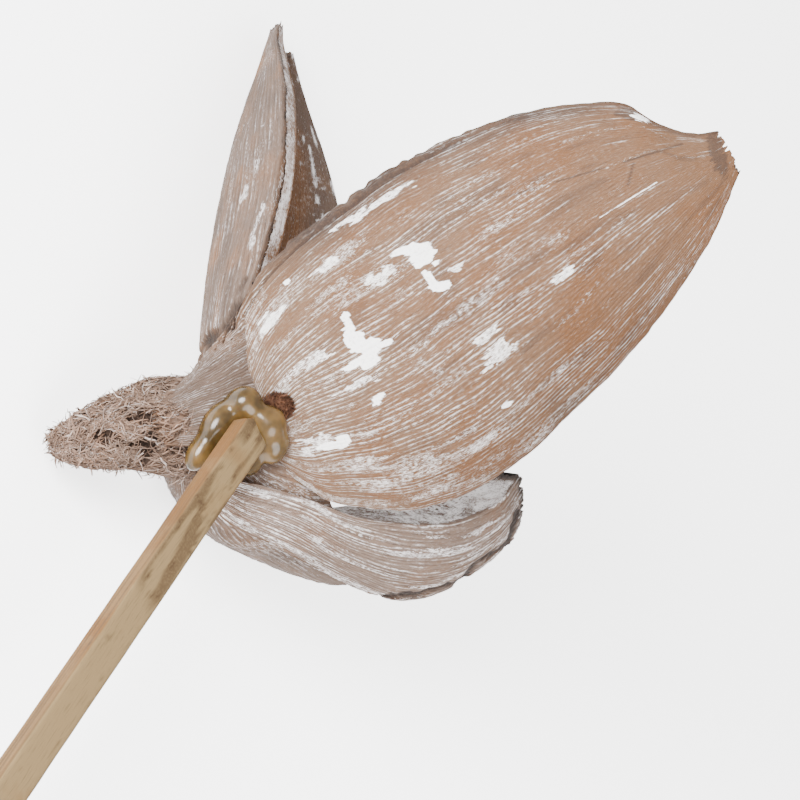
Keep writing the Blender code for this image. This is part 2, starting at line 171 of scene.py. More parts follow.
def outward(face, valve, u, v):
    """Unit vectors that stand on a valve's outer face, from its slopes along u and v."""
    e = 0.004
    a, b = np.clip(u, e, 1 - e), np.clip(v, e - 1, 1 - e)
    along = face(valve, a + e, b) - face(valve, a - e, b)
    across = face(valve, a, b + e) - face(valve, a, b - e)
    stand = np.cross(along, across)
    stand /= np.linalg.norm(stand, axis=-1, keepdims=True)
    return stand


def ribs(seed, u, v, count):
    """Ribs of the husk side by side from rim to rim, each a half sine, which wander, swell and fade.

    Gives the running number of the rib across each point, their height from 0 to 1, and a fine fibre noise.
    """
    across = (v + 1) / 2 * count + 0.9 * cloud(seed, 5 * u, 4 * v) + 0.3 * cloud(seed + 1, 19 * u, 15 * v)
    rib = np.floor(across)
    crest = np.sin(math.pi * (across - rib)) ** 1.2
    swell = 0.6 + 0.4 * cloud(seed + 2, 8 * u, 3.7 * rib)
    return across, crest * swell, cloud(seed + 3, 60 * u, 2.9 * across)


def blot(x, y, rough, spots):
    """Patches of paint: 1 inside any ellipse (x, y, half length, half width, degrees) and 0 outside them.

    Their edges are torn by the noise in rough.
    """
    cover = np.zeros_like(x)
    for middle_x, middle_y, length, width, degrees in spots:
        c, s = math.cos(math.radians(degrees)), math.sin(math.radians(degrees))
        a = ((x - middle_x) * c + (y - middle_y) * s) / length
        b = ((y - middle_y) * c - (x - middle_x) * s) / width
        cover = np.maximum(cover, ease(1.08, 0.92, np.hypot(a, b) + rough))
    return cover


def line_mark(x, y, start, end, width):
    """A straight mark between two points: 1 on it, fading out over its half width."""
    a, b = np.array(start), np.array(end)
    t = np.clip(((x - a[0]) * (b - a)[0] + (y - a[1]) * (b - a)[1]) / ((b - a) @ (b - a)), 0, 1)
    return ease(width, 0.3 * width, np.hypot(x - a[0] - t * (b - a)[0], y - a[1] - t * (b - a)[1]))


def section(rows, across, edge):
    """Places on a valve's closed skin: u from base to tip, and round the section the outer face from rim
    b to rim a, that rim, the lining back again with a quarter as many places, and rim b. deep is 0 on the
    outer face and 1 on the lining."""
    u = 0.5 - 0.5 * np.cos(np.linspace(0.12, 0.88, rows + 1) * math.pi)
    u = (u - u[0]) / (u[-1] - u[0])
    outer = np.linspace(-1, 1, across + 1)
    lining = outer[::4][::-1]
    rim = np.arange(1, edge) / edge
    v = np.concatenate([outer, np.ones(edge - 1), lining, -np.ones(edge - 1)])
    deep = np.concatenate([np.zeros(across + 1), rim, np.ones(len(lining)), 1 - rim])
    u, v = np.meshgrid(u, v, indexing="ij")
    return u, v, np.broadcast_to(deep, u.shape)


def valve_ends(rows, around, across, edge):
    """Faces that close a valve's skin at its base and tip: strips from the outer face to the lining."""
    faces = []
    lining = across + edge
    for row, flip in ((0, False), (rows, True)):
        strips = []
        for k in range(across // 4):
            far = lining + across // 4 - k
            strips.append([far, *range(4 * k, 4 * k + 5), far - 1])
        strips.append([across, *range(across + 1, lining), lining])
        strips.append([*range(lining + across // 4, around), 0])
        faces += [[row * around + j for j in (reversed(s) if flip else s)] for s in strips]
    return faces


def husk_mesh(name, points, coat, fibre, ends):
    """A mesh from a grid of points that closes round on itself, with its coat colours and its fibre map.

    points and coat have a row for each place along and a column for each place round. fibre has one
    column more. What would reach below the table is worn flat on it.
    """
    rows, around = points.shape[:2]
    i, j = np.meshgrid(np.arange(rows - 1), np.arange(around), indexing="ij")
    i, j = i.ravel(), j.ravel()
    k = (j + 1) % around
    quads = np.stack([i * around + j, i * around + k, (i + 1) * around + k, (i + 1) * around + j], axis=1)
    flat = points.reshape(-1, 3)
    a, b, c, d = (flat[quads[:, n]] for n in range(4))
    turned = np.einsum("ij,ij->i", a + b + c + d, np.cross(c - a, d - b)).sum() < 0
    if turned:
        quads = quads[:, ::-1]
        ends = [face[::-1] for face in ends]
    mesh = bpy.data.meshes.new(name)
    lying = np.array(LYING)
    placed = flat / 1000 @ lying[:3, :3].T + lying[:3, 3]
    placed[:, 2] = np.maximum(placed[:, 2], 0)
    mesh.from_pydata(placed.tolist(), [], quads.tolist() + ends)
    u = np.stack([i, i, i + 1, i + 1], axis=1)
    v = np.stack([j, j + 1, j + 1, j], axis=1)
    if turned:
        u, v = u[:, ::-1], v[:, ::-1]
    laid = np.zeros((len(mesh.loops), 2))
    laid[:u.size] = fibre[u.ravel(), v.ravel()]
    mesh.uv_layers.new(name="fibre").data.foreach_set("uv", laid.ravel())
    layer = mesh.attributes.new("coat", "FLOAT_COLOR", "POINT")
    layer.data.foreach_set("color", coat.reshape(-1))
    mesh.polygons.foreach_set("use_smooth", np.ones(len(mesh.polygons), bool))
    mesh.update()
    piece = bpy.data.objects.new(name, mesh)
    bpy.context.scene.collection.objects.link(piece)
    return piece


def husk_finish(name, dry, warm, dirt_and_shade, paint, lines=0.7, grooves=0.5, grain_depth=0.5):
    """Dried husk under thin whitewash: the coat's red is paint, its green dirt and painted shade, its blue
    warmth.

    The fibre map's second value counts the ribs. Paint keeps to their crests in stretches, the more the
    coat's alpha says, and the grooves between are darkened, with dirt and painted shade. Long streaks and
    fine specks break all of it up.
    """
    finish = bpy.data.materials.new(name)
    finish.use_nodes = True
    tree = finish.node_tree
    shader = tree.nodes["Principled BSDF"]

    def node(kind, **values):
        made = tree.nodes.new(kind)
        for key, value in values.items():
            setattr(made, key, value)
        return made

    def noise(vector, scale, detail, stretch=(1, 1, 1), rough=0.6):
        place = node("ShaderNodeMapping")
        place.inputs["Scale"].default_value = stretch
        tree.links.new(vector, place.inputs["Vector"])
        made = node("ShaderNodeTexNoise")
        made.inputs["Scale"].default_value = scale
        made.inputs["Detail"].default_value = detail
        made.inputs["Roughness"].default_value = rough
        tree.links.new(place.outputs["Vector"], made.inputs["Vector"])
        return made.outputs["Fac"]

    def within(source, low, high, out_low=0.0, out_high=1.0):
        made = node("ShaderNodeMapRange", interpolation_type="SMOOTHSTEP")
        for key, value in (("From Min", low), ("From Max", high), ("To Min", out_low), ("To Max", out_high)):
            made.inputs[key].default_value = value
        tree.links.new(source, made.inputs["Value"])
        return made.outputs["Result"]

    def sums(kind, first, second=0.0, clamp=False):
        made = node("ShaderNodeMath", operation=kind, use_clamp=clamp)
        for place, value in enumerate((first, second)):
            if isinstance(value, float):
                made.inputs[place].default_value = value
            else:
                tree.links.new(value, made.inputs[place])
        return made.outputs[0]

    def blend(share, first, second):
        made = node("ShaderNodeMix", data_type="RGBA")
        tree.links.new(share, made.inputs[0])
        for place, value in ((6, first), (7, second)):
            if isinstance(value, tuple):
                made.inputs[place].default_value = (*value, 1)
            else:
                tree.links.new(value, made.inputs[place])
        return made.outputs[2]

    coat = node("ShaderNodeAttribute", attribute_name="coat")
    split = node("ShaderNodeSeparateColor")
    tree.links.new(coat.outputs["Color"], split.inputs["Color"])
    fibre = node("ShaderNodeUVMap", uv_map="fibre").outputs["UV"]
    place = node("ShaderNodeTexCoord").outputs["Object"]
    streaks = noise(fibre, 1.0, 4.0, (0.22, 2.3, 1.0))
    threads = noise(fibre, 1.0, 3.0, (1.1, 8.0, 1.0))
    wobble = noise(fibre, 1.0, 3.0, (0.8, 1.7, 1.0))
    specks = noise(place, 2200.0, 3.0)
    flecks = noise(place, 1100.0, 4.0, (1, 1, 1), 0.7)
    drift = noise(place, 70.0, 4.0)

    spread = node("ShaderNodeSeparateXYZ")
    tree.links.new(fibre, spread.inputs["Vector"])
    within_rib = sums("FRACT", spread.outputs["Y"])
    crest = sums("SINE", sums("MULTIPLY", within_rib, math.pi))
    of_rib = node("ShaderNodeCombineXYZ")
    tree.links.new(sums("MULTIPLY", spread.outputs["X"], 0.09), of_rib.inputs["X"])
    tree.links.new(sums("MULTIPLY", sums("FLOOR", spread.outputs["Y"]), 7.31), of_rib.inputs["Y"])
    kept = sums("ADD", noise(of_rib.outputs["Vector"], 1.0, 3.0), coat.outputs["Alpha"])
    ragged = sums("ADD", crest, sums("MULTIPLY", sums("SUBTRACT", wobble, 0.5), 0.9))
    line = sums("MULTIPLY", within(kept, 0.88, 1.14), within(ragged, 0.86, 1.06))
    half = sums("SINE", sums("MULTIPLY", within_rib, 4.0 * math.pi))
    hair = sums("ADD", half, sums("MULTIPLY", sums("SUBTRACT", threads, 0.5), 3.0))
    hair = sums("MULTIPLY", within(hair, 0.75, 1.2, 0.0, 0.6), within(kept, 0.95, 1.15))
    line = sums("MAXIMUM", line, hair)
    line = sums("MULTIPLY", line, within(flecks, 0.34, 0.5, 0.45, 1.0))
    line = sums("MULTIPLY", line, sums("MULTIPLY", within(coat.outputs["Alpha"], 0.02, 0.1), lines))

    warmth = sums("ADD", split.outputs["Blue"], within(drift, 0.35, 0.7, -0.4, 0.4), clamp=True)
    colour = blend(warmth, dry, warm)
    darker = tuple(c * 0.5 for c in dry)
    colour = blend(within(streaks, 0.5, 0.75, 0.0, 0.7), colour, darker)
    colour = blend(within(threads, 0.5, 0.8, 0.0, 0.14), colour, paint)
    # Dirt and painted shade: the grooves between the ribs are darkened towards the dirt colour.
    hollow = sums("MULTIPLY", within(streaks, 0.35, 0.6), grooves)
    hollow = sums("MULTIPLY", within(ragged, 0.35, 0.0), hollow)
    colour = blend(hollow, colour, dirt_and_shade)
    # The coat's green darkens towards the dirt colour: dirt, and painted shade where the dress puts it there.
    soiled_and_shaded = sums("MULTIPLY", split.outputs["Green"], within(specks, 0.2, 0.6, 0.6, 1.0))
    colour = blend(soiled_and_shaded, colour, dirt_and_shade)
    flake = sums("ADD", threads, sums("MULTIPLY", sums("ADD", flecks, drift), 0.5))
    flake = sums("ADD", sums("MULTIPLY", sums("SUBTRACT", flake, 1.0), 1.5), split.outputs["Red"])
    film = sums("MULTIPLY", within(flake, 0.36, 0.66), within(split.outputs["Red"], 0.0, 0.85, 0.26, 1.0))
    film = sums("MULTIPLY", film, within(specks, 0.3, 0.5, 0.8, 1.0))
    colour = blend(sums("MAXIMUM", film, line), colour, paint)
    tree.links.new(colour, shader.inputs["Base Color"])
    shader.inputs["Roughness"].default_value = 0.85
    shader.inputs["Specular IOR Level"].default_value = 0.2
    height = sums("ADD", sums("MULTIPLY", threads, 0.5), sums("MULTIPLY", specks, 0.2))
    height = sums("ADD", height, sums("MULTIPLY", crest, 0.6 * grooves))
    bump = node("ShaderNodeBump")
    bump.inputs["Strength"].default_value = grain_depth
    bump.inputs["Distance"].default_value = 0.0003
    tree.links.new(height, bump.inputs["Height"])
    tree.links.new(bump.outputs["Normal"], shader.inputs["Normal"])
    return finish


def wall_share(valve, u):
    """How much of the wall's thickness a valve has: all of it, but thin at the base and the tip."""
    return 0.3 + 0.7 * np.clip(np.minimum(u / 0.16, (1 - u) / 0.3 + valve["tip_wall"]), 0, 1)


def valve_skin(name, face, valve, rows, across, edge, dress):
    """A valve's closed skin, with relief in mm and coat colours that dress works out for each place.

    Its tip is frayed: noise shortens the last rows by up to 1.4 mm.
    """
    u, v, deep = section(rows, across, edge)
    points = face(valve, u, v)
    stand = outward(face, valve, u, v)
    middle = (points[rows // 2, 0] + points[rows // 2, across]) / 2
    if ((points[rows // 2, across // 2] - middle) * stand[rows // 2, across // 2]).sum() < 0:
        stand = -stand
    relief, coat, across_rib = dress(u, v, deep, points)
    wall = valve["wall"] * wall_share(valve, u)
    length = np.linalg.norm(points[-1, across // 2] - points[0, across // 2])
    points = points + stand * (relief * (1 - deep) - (wall + relief * deep * 0.6) * deep)[..., None]
    tip = points[-1, across // 2] - points[-6, across // 2]
    fray = np.maximum(0.3 + 0.8 * cloud(3, 11 * v + 9 * deep, 5 * deep) + 0.3 * cloud(4, 40 * v, 9 * deep), 0)
    points = points - (fray * ease(0.955, 1.0, u))[..., None] * tip / np.linalg.norm(tip)
    fibre = np.stack([u * length, across_rib + 8 * deep], axis=-1)
    fibre = np.concatenate([fibre, fibre[:, :1]], axis=1)
    return husk_mesh(name, points, coat, fibre, valve_ends(rows, points.shape[1], across, edge))


# Where the front valve's rim a is torn off, and how it would run on if it weren't: its ribs keep to that.
NOTCH_FROM = 0.8
BEFORE_NOTCH = [(0.84, 21.8), (0.92, 15.5), (1, 6.6)]
# Patches of whitewash on the front valve, thick and washed thin: x, y, half length, half width, degrees.
THICK_PAINT = (
    (33.2, 31.0, 2.9, 2.2, -10), (30.6, 31.6, 2.4, 0.8, 15), (37.2, 25.4, 2.4, 0.9, 10),
    (35.0, 26.6, 2.2, 0.8, -50), (20.6, 19.0, 2.6, 0.7, -62), (24.4, 13.0, 2.2, 2.9, -15),
    (22.0, 15.4, 2.8, 1.5, -48), (21.4, 11.4, 2.6, 0.8, 32), (26.8, 15.0, 1.8, 0.5, 25),
    (26.0, 5.4, 1.4, 0.6, 50), (48.6, 4.4, 1.0, 0.5, 20), (19.6, -2.0, 1.6, 1.3, 60),
    (17.4, -2.8, 2.6, 0.8, 8), (9.6, 26.1, 0.7, 0.5, 30), (72.4, 55.4, 1.6, 0.5, -20))
WASHED_PAINT = (
    (46.9, 13.6, 3.6, 1.8, 35), (45.2, 16.8, 2.8, 1.0, 35), (6.4, 18.9, 2.4, 0.9, 48),
    (26.6, 26.8, 2.4, 1.0, 30), (25.8, 40.2, 7.5, 0.8, 33), (15.4, -2.4, 3.6, 1.6, 5),
    (9.0, 7.6, 2.4, 0.9, 40), (22.0, 8.0, 4.0, 0.7, 25), (14.0, 12.0, 4.0, 0.8, 32),
    (38.5, 28.2, 3.4, 0.7, 30), (16.5, 29.0, 2.0, 0.7, 32), (58.0, 27.0, 3.0, 0.6, 32))


def front_dress(u, v, deep, points):
    """The front valve's relief and coat.

    Ribs and fine fibre, a rough ridge with a split below it along rim a, and a torn hollow beside the
    splint. Paint is a thin film, the patches and one sharp line. Dirt is smudges, scars and the torn notch.
    Painted shade darkens the band along rim a with its ridge and split, and the torn hollow.
    """
    x, y = points[..., 0], points[..., 1]
    rim_a, rim_b = (smooth_through(FRONT[rim], u) for rim in ("rim_a", "rim_b"))
    whole = smooth_through([s for s in FRONT["rim_a"] if s[0] < NOTCH_FROM] + BEFORE_NOTCH, u)
    aside = (rim_a + rim_b) / 2 + (rim_a - rim_b) / 2 * np.sin(v * BOAT_ARC) / math.sin(BOAT_ARC)
    aside = (aside - (whole + rim_b) / 2) / ((whole - rim_b) / 2) * math.sin(BOAT_ARC)
    across, crest, fine = ribs(11, u, np.arcsin(np.clip(aside, -1, 1)) / BOAT_ARC, 76)
    outer = ease(0.5, 0.0, deep)
    lining = ease(0.6, 1.0, deep)
    ends = np.sin(math.pi * np.clip(u, 0.01, 0.99)) ** 0.4
    relief = (0.13 * crest * (0.7 + 0.3 * np.abs(v)) + 0.04 * fine) * ends
    relief = np.where(deep > 0.5, 0.05 * cloud(31, 90 * u, 6 * v), relief)
    relief = relief + 0.12 * cloud(17, 70 * u, 6 * deep) * ease(0.97, 1.0, np.abs(v))
    ridge = ease(0.925, 0.955, v) * ease(0.8, 0.5, u) * ease(0.0, 0.08, u) * outer
    split = np.exp(-((v - 0.925 - 0.01 * cloud(24, 26 * u, 2 * v)) / 0.009) ** 2) * ease(0.8, 0.5, u) * outer
    relief = relief + ridge * (0.5 + 0.35 * cloud(25, 70 * u, 40 * v)) - 0.4 * split
    torn_hole = ease(3.4, 1.6, np.hypot(x - 8.2, 1.2 * (y - 4.0))) * outer
    relief = relief - 2.6 * torn_hole
    base = ease(0.42, 0.02, u)
    band = ease(0.66, 0.95, v)
    kept = 0.46 + 0.08 * base - 0.03 * band + 0.05 * ease(-0.4, -0.95, v) - 0.08 * ease(0.5, 0.9, u)
    kept = (kept + 0.12 * cloud(13, 5 * u, 6 * v)) * outer * (1 - torn_hole) * ease(1.0, 0.96, u)
    film = cloud(14, 9 * u, 16 * v) + 0.5 * cloud(21, 30 * u, 40 * v) + 0.5 * base + 0.2 * band
    film = 0.40 * ease(-0.5, 1.1, film - 0.3 * ease(0.4, 0.8, u)) * (1 - 0.7 * band * ease(0.05, 0.3, u))
    streaky = 0.22 * cloud(15, 40 * u, 28 * v) + 0.16 * cloud(16, 9 * u, 60 * v)
    streaky = streaky + 0.12 * cloud(22, 110 * u, 70 * v)
    thick = blot(x, y, 1.5 * streaky, THICK_PAINT)
    washed = blot(x, y, 3.0 * streaky, WASHED_PAINT)
    sharp = line_mark(x, y, (64.8, 37.3), (75.2, 43.8), 0.25)
    paint = np.maximum.reduce([film, thick, 0.6 * washed, 0.7 * sharp]) * (1 - torn_hole)
    scar = line_mark(x, y, (69.3, 47.3), (79.8, 50.7), 0.3) + line_mark(x, y, (71.0, 47.1), (70.0, 43.2), 0.3)
    faint = ease(-0.1, 0.3, cloud(18, 30 * u, 3 * v))
    scar = scar + line_mark(x, y, (45.0, 40.0), (69.3, 47.3), 0.22) * faint
    smudge = 0.35 * ease(0.35, 0.7, cloud(19, 12 * u, 16 * v)) * (1 - base)
    torn_notch = blot(x, y, streaky, ((70.4, 56.0, 2.4, 1.0, -10), (86.2, 49.4, 1.5, 4.4, 15)))
    # Painted shade: the band along rim a, where the face turns away from the light, is darkened, with the
    # split below its ridge and the ridge itself.
    shaded_band_and_split = band * ease(0.08, 0.3, u) * (0.72 + 0.28 * cloud(23, 14 * u, 12 * v))
    shaded_band_and_split = shaded_band_and_split + 0.8 * split + 0.25 * ridge
    # Dirt is the smudges, scars and torn notch; the shaded band and split and the torn hollow, fully
    # darkened, are painted shade.
    dirt_and_shade = np.maximum.reduce([smudge, 0.8 * scar, 0.75 * torn_notch, shaded_band_and_split, torn_hole])
    dirt_and_shade = np.clip(dirt_and_shade, 0, 1) * outer
    dirt_and_shade = np.maximum(dirt_and_shade, 0.5 * (1 - outer) * (1 - lining))
    paint = paint * outer + 0.3 * ease(0.1, 0.7, cloud(20, 14 * u, 9 * v)) * lining
    warmth = (0.25 + 0.4 * ease(0.2, 0.9, u) + 0.3 * ease(0.1, -0.9, v)) * outer + 0.8 * lining
    return relief, np.clip(np.stack([paint, dirt_and_shade, warmth, kept], axis=-1), 0, 1), across


front_valve = valve_skin("front_valve", boat_face, FRONT, 252, 288, 8, front_dress)
front_husk = husk_finish("front_husk", (0.090, 0.048, 0.0255), (0.086, 0.036, 0.0130),
                         (0.026, 0.016, 0.012), (0.66, 0.65, 0.64), 0.42, 0.45)
front_valve.data.materials.append(front_husk)
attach(front_valve, "root")
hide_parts("pod")


# The left valve. The same husk standing up behind, seen half from its keel: its near rim is thick,
# cracked along its outer side and rough, and past it the smooth brown lining shows.
LEFT = {
    "base": (-8.1, -3.2, -24.0), "heading": 81.1, "dip": -33.7, "roll": -18.3,
    "length": 97.0, "bow": 2.1, "sunk": (0.0, 0.0, 0.0), "wall": 4.2, "tip_wall": 0.0,
    "drop": [(0, 7.3), (0.1, 11), (0.2, 14.6), (0.35, 18.2), (0.5, 18.1), (0.7, 13.7), (0.82, 9.4),
             (0.92, 5.3), (1, 3.2)],
    "rim_a": [(0, 8), (0.06, 15), (0.15, 21), (0.3, 25), (0.45, 25.5), (0.6, 23.5), (0.75, 20), (0.87, 16.5),
              (0.95, 12), (1, 6)],
    "rim_b": [(0, -6), (0.06, -11), (0.15, -16.5), (0.3, -22.6), (0.45, -24), (0.6, -21.8), (0.75, -16.6),
              (0.87, -10.4), (0.95, -6.6), (1, -4)],
}


SEAM = [(-10.4, 9.7), (-4.9, 15.5), (-0.8, 18.2), (0.6, 21.8), (4.2, 26.6), (5.6, 29.0)]


def torn_seam(points, u, v):
    """The dark torn seam where the left valve meets the neck: a wandering line through SEAM, in x and y."""
    astray = 0.9 * cloud(5, 30 * u, 12 * v) + 0.5 * cloud(6, 63 * u, 50 * v)
    return np.maximum.reduce([line_mark(points[..., 0] + astray, points[..., 1] - astray, start, end, 1.7)
                              for start, end in zip(SEAM[:-1], SEAM[1:])])


def left_dress(u, v, deep, points):
    """The left valve's relief and coat: ribs outside, a rough painted rim cracked along its outer side, a
    smooth brown lining with paint in streaks, and the torn seam near the base. The crack and the far strip
    of the lining are darkened with painted shade."""
    across, crest, fine = ribs(41, u, v, 58)
    outer = ease(0.12, 0.0, deep)
    lining = ease(0.8, 1.0, deep)
    rim = (1 - outer) * (1 - lining)
    ends = np.sin(math.pi * np.clip(u, 0.01, 0.99)) ** 0.4
    relief = (0.24 * crest + 0.07 * fine) * ends * outer
    relief = relief + lining * (0.08 * cloud(51, 110 * u, 5 * v) + 0.05 * cloud(52, 20 * u, 24 * v))
    relief = relief + rim * ends * (0.45 * cloud(53, 60 * u, 7 * deep) + 0.3 * cloud(54, 140 * u, 12 * deep))
    # The crack is cut into the rim and darkened in the coat: painted shade in the crack.
    crack = np.exp(-((deep - 0.14 - 0.05 * cloud(55, 30 * u, 3 * v)) / 0.05) ** 2)
    relief = relief - 0.9 * crack * ends
    kept = (0.43 + 0.08 * ease(0.55, 0.2, u) + 0.10 * cloud(43, 7 * u, 5 * v)) * outer
    film = 0.3 * ease(-0.5, 0.9, cloud(44, 8 * u, 12 * v) + 0.5 * cloud(48, 30 * u, 30 * v))
    daub = 0.5 * ease(0.5, 0.8, cloud(45, 16 * u, 12 * v) + 0.5 * cloud(46, 40 * u, 40 * v))
    paint = np.maximum(film, daub * ease(0.9, 0.5, u)) * outer
    streak = 0.7 * ease(0.1, 0.7, cloud(56, 10 * u, 30 * v) + 0.7 * cloud(59, 60 * u, 50 * v))
    paint = paint + rim * (0.5 + 0.12 * cloud(57, 50 * u, 6 * deep))
    paint = paint + lining * np.maximum(streak * ease(0.45, 0.8, v), 0.22)
    paint = paint * (1 - np.clip(1.3 * crack, 0, 1))
    # Painted shade: the far strip of the lining, seen aslant, is darkened.
    far = ease(0.5, 0.85, v) * lining
    dirt_and_shade = 0.3 * ease(0.1, 0.8, cloud(47, 9 * u, 9 * v)) * outer + crack + 0.25 * far
    dirt_and_shade = dirt_and_shade + 0.15 * rim * ease(0.1, 0.6, cloud(58, 90 * u, 9 * deep))
    stained = 0.1 + 0.6 * ease(0.2, 0.7, cloud(49, 14 * u, 9 * v))
    seam = torn_seam(points, u, v) * outer
    relief = relief - 0.9 * seam
    kept = kept * (1 - seam)
    paint = paint * (1 - seam)
    dirt_and_shade = dirt_and_shade + 0.9 * seam
    warmth = stained * outer + 0.9 * rim + lining * ease(0.85, 0.5, v)
    return relief, np.clip(np.stack([paint, dirt_and_shade, warmth, kept], axis=-1), 0, 1), across


left_valve = valve_skin("left_valve", boat_face, LEFT, 220, 216, 18, left_dress)
grey_husk = husk_finish("grey_husk", (0.074, 0.048, 0.035), (0.115, 0.055, 0.025),
                        (0.015, 0.010, 0.008), (0.50, 0.48, 0.48), 0.42, 0.6)
left_valve.data.materials.append(grey_husk)
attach(left_valve, "root")
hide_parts("pod")


# The lower valve. It is opened nearly flat and curls up at the right, so that its ribs run like a smile
# under the front valve; its upper rim is a flat lumpy band, its lower one torn brown.
LOWER = {
    "rim_a": [(0, -1.6, -8.5, -5), (0.12, 5.4, -10, -7), (0.25, 12.9, -12.3, -10), (0.4, 22.2, -15.7, -15),
              (0.55, 31.6, -17.1, -21), (0.7, 39.9, -17, -28), (0.85, 47.6, -13.7, -37),
              (1, 52.3, -8.6, -47)],
    "rim_b": [(0, -5.1, -12.1, -8.5), (0.12, -0.7, -16.7, -8.5), (0.25, 8.4, -21.3, -12),
              (0.4, 19.8, -28, -27), (0.55, 29, -31.9, -42), (0.7, 37.6, -30.7, -52),
              (0.85, 45.9, -25.9, -60), (1, 51.1, -21.7, -64)],
    "crown": [(0, 1), (0.15, 1.8), (0.4, 2.6), (0.7, 2.8), (1, 1.4)],
    "arc": 34.0, "wall": 5.8, "tip_wall": 0.6,
}


def flat_face(valve, u, v):
    """Outer face of the flat valve: a low arc between two rims, each a curve through its own stations."""
    arc = math.radians(valve["arc"])

    def rims(t):
        return [np.stack([smooth_through([(s[0], s[k]) for s in valve[rim]], t) for k in (1, 2, 3)], axis=-1)
                for rim in ("rim_a", "rim_b")]

    a, b = rims(u)
    before, after = (sum(rims(np.clip(u + d, 0, 1))) / 2 for d in (-0.002, 0.002))
    out = np.cross(after - before, (a - b) / 2)
    out /= np.linalg.norm(out, axis=-1, keepdims=True)
    rise = smooth_through(valve["crown"], u) * (np.cos(v * arc) - math.cos(arc)) / (1 - math.cos(arc))
    return (a + b) / 2 + (a - b) / 2 * (np.sin(v * arc) / math.sin(arc))[..., None] + rise[..., None] * out


# The crack low on the lower valve, and the torn edge that it runs into, in x and y.
LOW_CRACK = [(-3.5, -16.7), (4.2, -19.9), (7.4, -23.8), (18.9, -28.9), (24.6, -31.1), (33.0, -30.8),
             (41.6, -28.5), (44.2, -25.2), (50.4, -21.6), (51.7, -15.6)]


def lower_dress(u, v, deep, points):
    """The lower valve's relief and coat: ribs outside, a lumpy painted rim whose lip stands in over the
    lining, and the dark crack. The lining below the lip is darkened with painted shade."""
    across, crest, fine = ribs(71, u, v, 26)
    outer = ease(0.15, 0.0, deep)
    lining = ease(0.8, 1.0, deep)
    rim = (1 - outer) * (1 - lining)
    ends = np.sin(math.pi * np.clip(u, 0.01, 0.99)) ** 0.4
    relief = (0.24 * crest + 0.08 * fine) * outer
    relief = relief + lining * 0.08 * cloud(81, 90 * u, 5 * v)
    relief = relief + lining * 6 * ease(0.86, 0.98, v) * ease(0.15, 0.32, u)
    relief = relief + rim * ends * (0.5 * cloud(83, 40 * u, 5 * deep) + 0.3 * cloud(84, 110 * u, 12 * deep))
    kept = (0.52 + 0.14 * cloud(73, 5 * u, 4 * v)) * outer
    film = 0.5 * ease(-0.6, 0.8, cloud(74, 8 * u, 9 * v) + 0.5 * cloud(75, 30 * u, 24 * v))
    astray = 0.5 * cloud(76, 20 * u, 9 * v) + 0.3 * cloud(77, 60 * u, 30 * v)
    torn = np.maximum.reduce([line_mark(points[..., 0], points[..., 1] + astray, start, end, 0.9)
                              for start, end in zip(LOW_CRACK[:-1], LOW_CRACK[1:])]) * outer
    relief = relief - 0.7 * torn * ends
    frayed = ease(0.95, 0.99, u) * ease(-0.7, 0.2, v)
    lip = lining * ease(0.7, 0.9, v)
    paint = film * outer + rim * (0.56 + 0.15 * cloud(85, 40 * u, 6 * deep)) + 0.1 * lining + 0.42 * lip
    paint = paint * (1 - torn) * (1 - frayed)
    kept = kept * (1 - torn)
    margin = ease(-0.8, -0.97, v) * outer
    dirt_and_shade = 0.45 * margin + 0.12 * rim * ease(0.1, 0.6, cloud(86, 70 * u, 9 * deep))
    # Painted shade: the lining below the lip is darkened, where it shows in the gap under the front valve.
    dirt_and_shade = dirt_and_shade + 0.5 * (lining - lip) + torn + 0.9 * frayed
    warmth = 0.2 * outer + 0.6 * margin + 0.3 * rim + 0.5 * lining
    return relief, np.clip(np.stack([paint, dirt_and_shade, warmth, kept], axis=-1), 0, 1), across


lower_valve = valve_skin("lower_valve", flat_face, LOWER, 240, 160, 20, lower_dress)
# The lower valve's husk is a paler copy of the husk finish: painted light, as the valve faces down, away from
# the key light.
painted_light_husk = husk_finish("painted_light_husk", (0.120, 0.080, 0.060), (0.130, 0.066, 0.034), (0.018, 0.012, 0.010),
                        (0.78, 0.76, 0.76), 0.55, 0.6)
lower_valve.data.materials.append(painted_light_husk)
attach(lower_valve, "root")
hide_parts("pod")


# The unsplit base. A round cup of thicker husk that the three valves grow out of, with a lobe that
# reaches round below the splint. Its ribs spread from the stalk.
CUP_CENTRE = np.array((6.1, -3.5, -27.5))
CUP_RADIUS = 19.6
CUP_WALL = 3.4
CUP_POLE = np.array((-0.709, 0.19, 0.678)) / np.linalg.norm((-0.709, 0.19, 0.678))
LOBE_TOWARDS = np.array((0.49, -0.87, 0.0))


